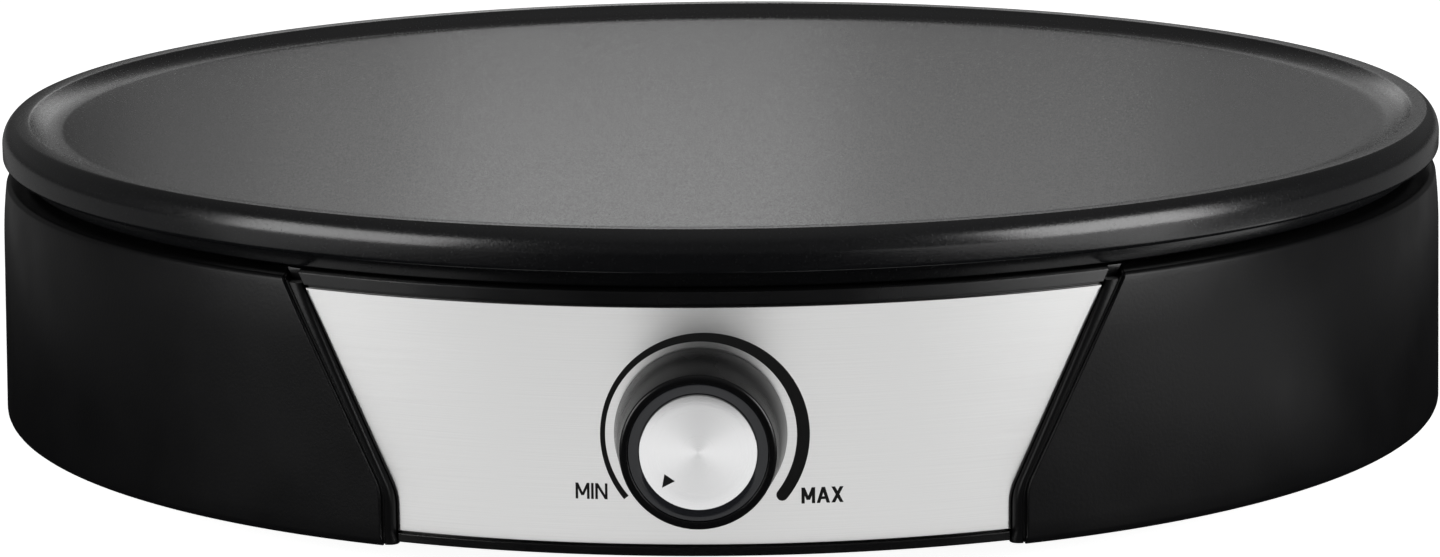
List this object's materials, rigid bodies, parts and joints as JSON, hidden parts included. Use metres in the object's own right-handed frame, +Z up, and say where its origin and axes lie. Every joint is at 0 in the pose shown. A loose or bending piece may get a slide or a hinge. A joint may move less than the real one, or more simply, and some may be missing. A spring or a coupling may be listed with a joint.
{
  "type": "electric crepe maker",
  "caption": "Round electric crepe maker with a rimmed non-stick plate, a drum housing with a steel fascia, and one temperature knob at the front.",
  "frame": {"origin": "middle of the whole part's footprint, on the plane of the feet; the plate's axis stands 5.9 mm behind it", "axes": "+Z up out of the cooking surface, -Y towards the knob and the user, +X to the user's right"},
  "size_m": [0.322, 0.3382, 0.0702],
  "materials": {
    "cooking_plate": "black non-stick coating with fine flecks on cast aluminium",
    "heating_element": "heat-dulled steel tube",
    "element_insulators": "glazed white ceramic",
    "element_terminals": "plain",
    "element_clamps": "zinc plated",
    "element_clamp_screws": "zinc plated",
    "sensor_bulb": "bare copper",
    "sensor_clip": "spring steel",
    "capillary_tube": "bare copper",
    "thermal_fuse": "woven glass sleeve",
    "fuse_clip": "spring steel",
    "clip_screws": "zinc plated",
    "heat_shield": "mill finish sheet",
    "plate_spacers": "zinc plated",
    "plate_screws": "zinc plated",
    "housing_shell": "fine matt texture",
    "fascia_frame": "semi-gloss",
    "fascia_panel": "brushed along its length",
    "base_cover": "fine matt texture",
    "base_screws": "black zinc",
    "rubber_feet": "matt",
    "cord_gland": "satin",
    "thermostat_body": "moulded insulating block",
    "thermostat_plate": "zinc plated",
    "thermostat_terminals": "plain",
    "thermostat_bracket": "zinc plated",
    "thermostat_screws": "plain",
    "bracket_screws": "plain",
    "terminal_block": "natural nylon",
    "terminal_screws": "plain",
    "earth_tag": "tinned",
    "earth_screw": "plain",
    "lead_live": "silicone insulation, brown",
    "lead_switched": "silicone insulation, black",
    "lead_heater": "silicone insulation, black",
    "lead_neutral": "silicone insulation, blue",
    "lead_earth": "silicone insulation, green",
    "thermostat_spindle": "ground",
    "knob_body": "satin black",
    "knob_ring": "glossy slate",
    "knob_cap": "spun"
  },
  "bodies": {
    "base": {"cooking_plate": "cooking_plate", "heating_element": "heating_element", "element_insulators": "element_insulators", "element_terminals": "element_terminals", "element_clamps": "element_clamps", "element_clamp_screws": "element_clamp_screws", "sensor_bulb": "sensor_bulb", "sensor_clip": "sensor_clip", "capillary_tube": "capillary_tube", "thermal_fuse": "thermal_fuse", "fuse_clip": "fuse_clip", "clip_screws": "clip_screws", "heat_shield": "heat_shield", "plate_spacers": "plate_spacers", "plate_screws": "plate_screws", "housing_shell": "housing_shell", "fascia_frame": "fascia_frame", "fascia_panel": "fascia_panel", "base_cover": "base_cover", "base_screws": "base_screws", "rubber_feet": "rubber_feet", "cord_gland": "cord_gland", "thermostat_body": "thermostat_body", "thermostat_plate": "thermostat_plate", "thermostat_terminals": "thermostat_terminals", "thermostat_bracket": "thermostat_bracket", "thermostat_screws": "thermostat_screws", "bracket_screws": "bracket_screws", "terminal_block": "terminal_block", "terminal_screws": "terminal_screws", "earth_tag": "earth_tag", "earth_screw": "earth_screw", "lead_live": "lead_live", "lead_switched": "lead_switched", "lead_heater": "lead_heater", "lead_neutral": "lead_neutral", "lead_earth": "lead_earth"},
    "knob": {"thermostat_spindle": "thermostat_spindle", "knob_body": "knob_body", "knob_ring": "knob_ring", "knob_cap": "knob_cap"}
  },
  "joints": [
    {"name": "knob_turn", "type": "hinge", "parent": "base", "child": "knob", "pos_m": [0, -0.15161, 0.03], "axis": [0, 1, 0], "range_deg": [0, 264]}
  ]
}
